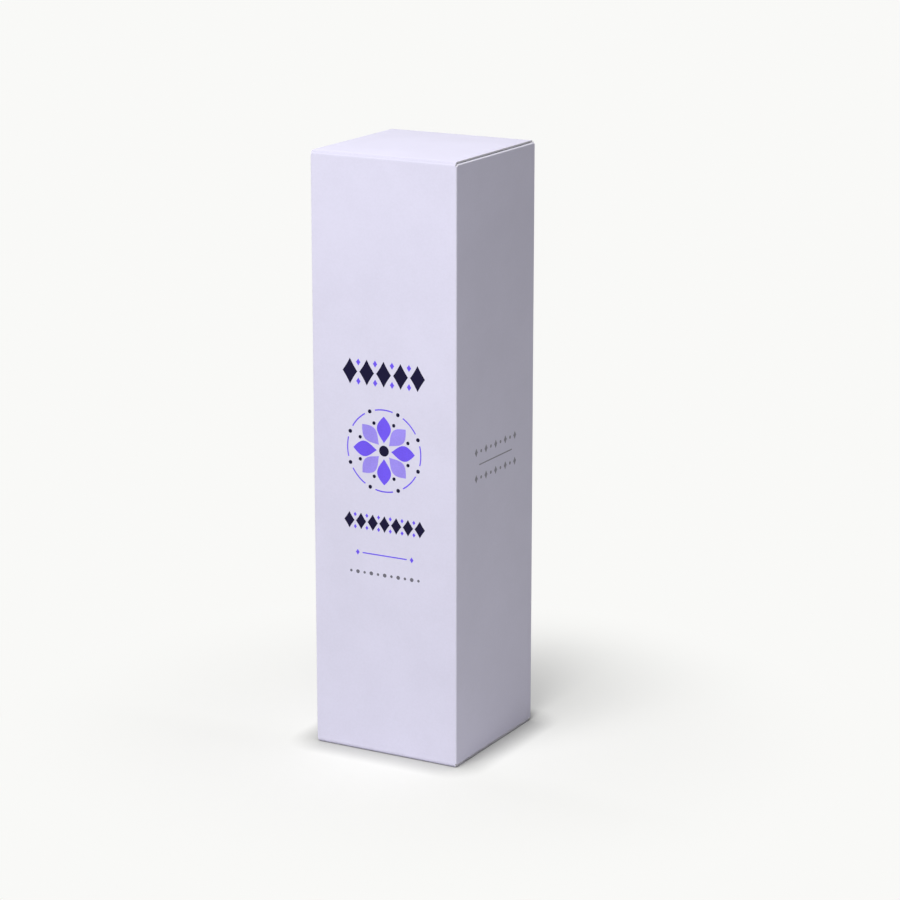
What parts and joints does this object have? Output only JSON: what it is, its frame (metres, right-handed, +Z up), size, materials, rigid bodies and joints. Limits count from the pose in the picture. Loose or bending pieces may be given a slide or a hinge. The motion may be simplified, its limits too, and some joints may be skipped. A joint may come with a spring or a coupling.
{
  "type": "tuck end box",
  "caption": "Slim upright folding carton of coated board, square in plan, with a hinged lid, tuck flap and dust flaps at the top and at the bottom.",
  "frame": {"origin": "middle of the closed carton's footprint, on the surface that it stands on", "axes": "+Z up along the carton's height, -Y out of the printed front wall, +X out of the right side wall"},
  "size_m": [0.04, 0.04, 0.15],
  "materials": {
    "board": "matte",
    "glue": "matte"
  },
  "bodies": {
    "sleeve": {"front_panel": "board", "right_panel": "board", "back_panel": "board", "left_panel": "board", "glue_flap": "board", "glue_line": "glue"},
    "top_lid": {"top_lid": "board"},
    "top_tuck_flap": {"top_tuck_flap": "board"},
    "top_right_dust_flap": {"top_right_dust_flap": "board"},
    "top_left_dust_flap": {"top_left_dust_flap": "board"},
    "bottom_lid": {"bottom_lid": "board"},
    "bottom_tuck_flap": {"bottom_tuck_flap": "board"},
    "bottom_right_dust_flap": {"bottom_right_dust_flap": "board"},
    "bottom_left_dust_flap": {"bottom_left_dust_flap": "board"}
  },
  "joints": [
    {"name": "top_lid_crease", "type": "hinge", "parent": "sleeve", "child": "top_lid", "pos_m": [0, -0.01974, 0.14974], "axis": [1, 0, 0], "range_deg": [0, 180]},
    {"name": "top_tuck_crease", "type": "hinge", "parent": "top_lid", "child": "top_tuck_flap", "pos_m": [0, 0.01916, 0.14978], "axis": [1, 0, 0], "range_deg": [0, 36]},
    {"name": "top_right_dust_crease", "type": "hinge", "parent": "sleeve", "child": "top_right_dust_flap", "pos_m": [0.01987, 0, 0.14932], "axis": [0, 1, 0], "range_deg": [0, 90]},
    {"name": "top_left_dust_crease", "type": "hinge", "parent": "sleeve", "child": "top_left_dust_flap", "pos_m": [-0.01987, 0, 0.14932], "axis": [0, -1, 0], "range_deg": [0, 90]},
    {"name": "bottom_lid_crease", "type": "hinge", "parent": "sleeve", "child": "bottom_lid", "pos_m": [0, -0.01974, 0.00026], "axis": [-1, 0, 0], "range_deg": [0, 180]},
    {"name": "bottom_tuck_crease", "type": "hinge", "parent": "bottom_lid", "child": "bottom_tuck_flap", "pos_m": [0, 0.01916, 0.00022], "axis": [-1, 0, 0], "range_deg": [0, 36]},
    {"name": "bottom_right_dust_crease", "type": "hinge", "parent": "sleeve", "child": "bottom_right_dust_flap", "pos_m": [0.01987, 0, 0.00068], "axis": [0, -1, 0], "range_deg": [0, 90]},
    {"name": "bottom_left_dust_crease", "type": "hinge", "parent": "sleeve", "child": "bottom_left_dust_flap", "pos_m": [-0.01987, 0, 0.00068], "axis": [0, 1, 0], "range_deg": [0, 90]}
  ],
  "couplings": [
    {"joint": "top_tuck_crease", "follows": "top_lid_crease", "ratio": 0.2},
    {"joint": "top_right_dust_crease", "follows": "top_lid_crease", "ratio": 0.5},
    {"joint": "top_left_dust_crease", "follows": "top_lid_crease", "ratio": 0.5},
    {"joint": "bottom_tuck_crease", "follows": "bottom_lid_crease", "ratio": 0.2},
    {"joint": "bottom_right_dust_crease", "follows": "bottom_lid_crease", "ratio": 0.5},
    {"joint": "bottom_left_dust_crease", "follows": "bottom_lid_crease", "ratio": 0.5}
  ]
}
